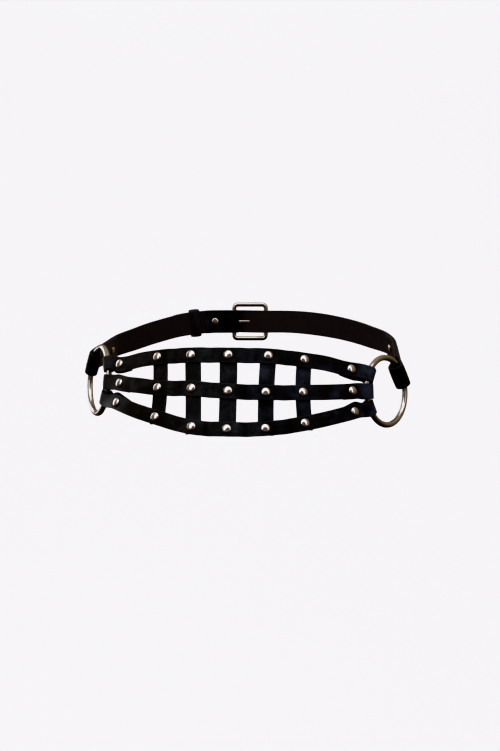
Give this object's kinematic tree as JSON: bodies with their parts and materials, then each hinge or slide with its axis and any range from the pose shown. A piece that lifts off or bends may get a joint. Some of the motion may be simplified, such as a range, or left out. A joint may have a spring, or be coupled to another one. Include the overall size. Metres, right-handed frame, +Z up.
{
  "type": "studded leather belt",
  "caption": "Wide belt of narrow studded leather straps and uprights between steel rings, with plain straps round to a buckle at the back.",
  "frame": {"origin": "centre of the waist opening, level with the middle front strap", "axes": "+Z up along the waist's axis, -Y to the front of the belt, +X to the right as the front is seen"},
  "size_m": [0.2725, 0.2603, 0.1141],
  "materials": {
    "leather": "smooth, semi-gloss black",
    "steel": "polished",
    "nickel": "bright nickel plate"
  },
  "bodies": {
    "root": {"strap_top": "leather", "strap_middle": "leather", "strap_bottom": "leather", "upright_1": "leather", "upright_2": "leather", "upright_3": "leather", "upright_4": "leather", "upright_5": "leather", "back_strap_left": "leather", "back_strap_right": "leather", "keeper": "leather", "ring_left": "steel", "ring_right": "steel", "buckle": "steel", "stud_top_1": "nickel", "stud_top_2": "nickel", "stud_top_3": "nickel", "stud_top_4": "nickel", "stud_top_5": "nickel", "stud_top_6": "nickel", "stud_top_7": "nickel", "stud_middle_1": "nickel", "stud_middle_2": "nickel", "stud_middle_3": "nickel", "stud_middle_4": "nickel", "stud_middle_5": "nickel", "stud_middle_6": "nickel", "stud_middle_7": "nickel", "stud_bottom_1": "nickel", "stud_bottom_2": "nickel", "stud_bottom_3": "nickel", "stud_bottom_4": "nickel", "stud_bottom_5": "nickel", "stud_bottom_6": "nickel", "stud_bottom_7": "nickel", "stud_back_left": "nickel", "stud_back_right": "nickel", "stud_buckle": "nickel"}
  },
  "joints": []
}
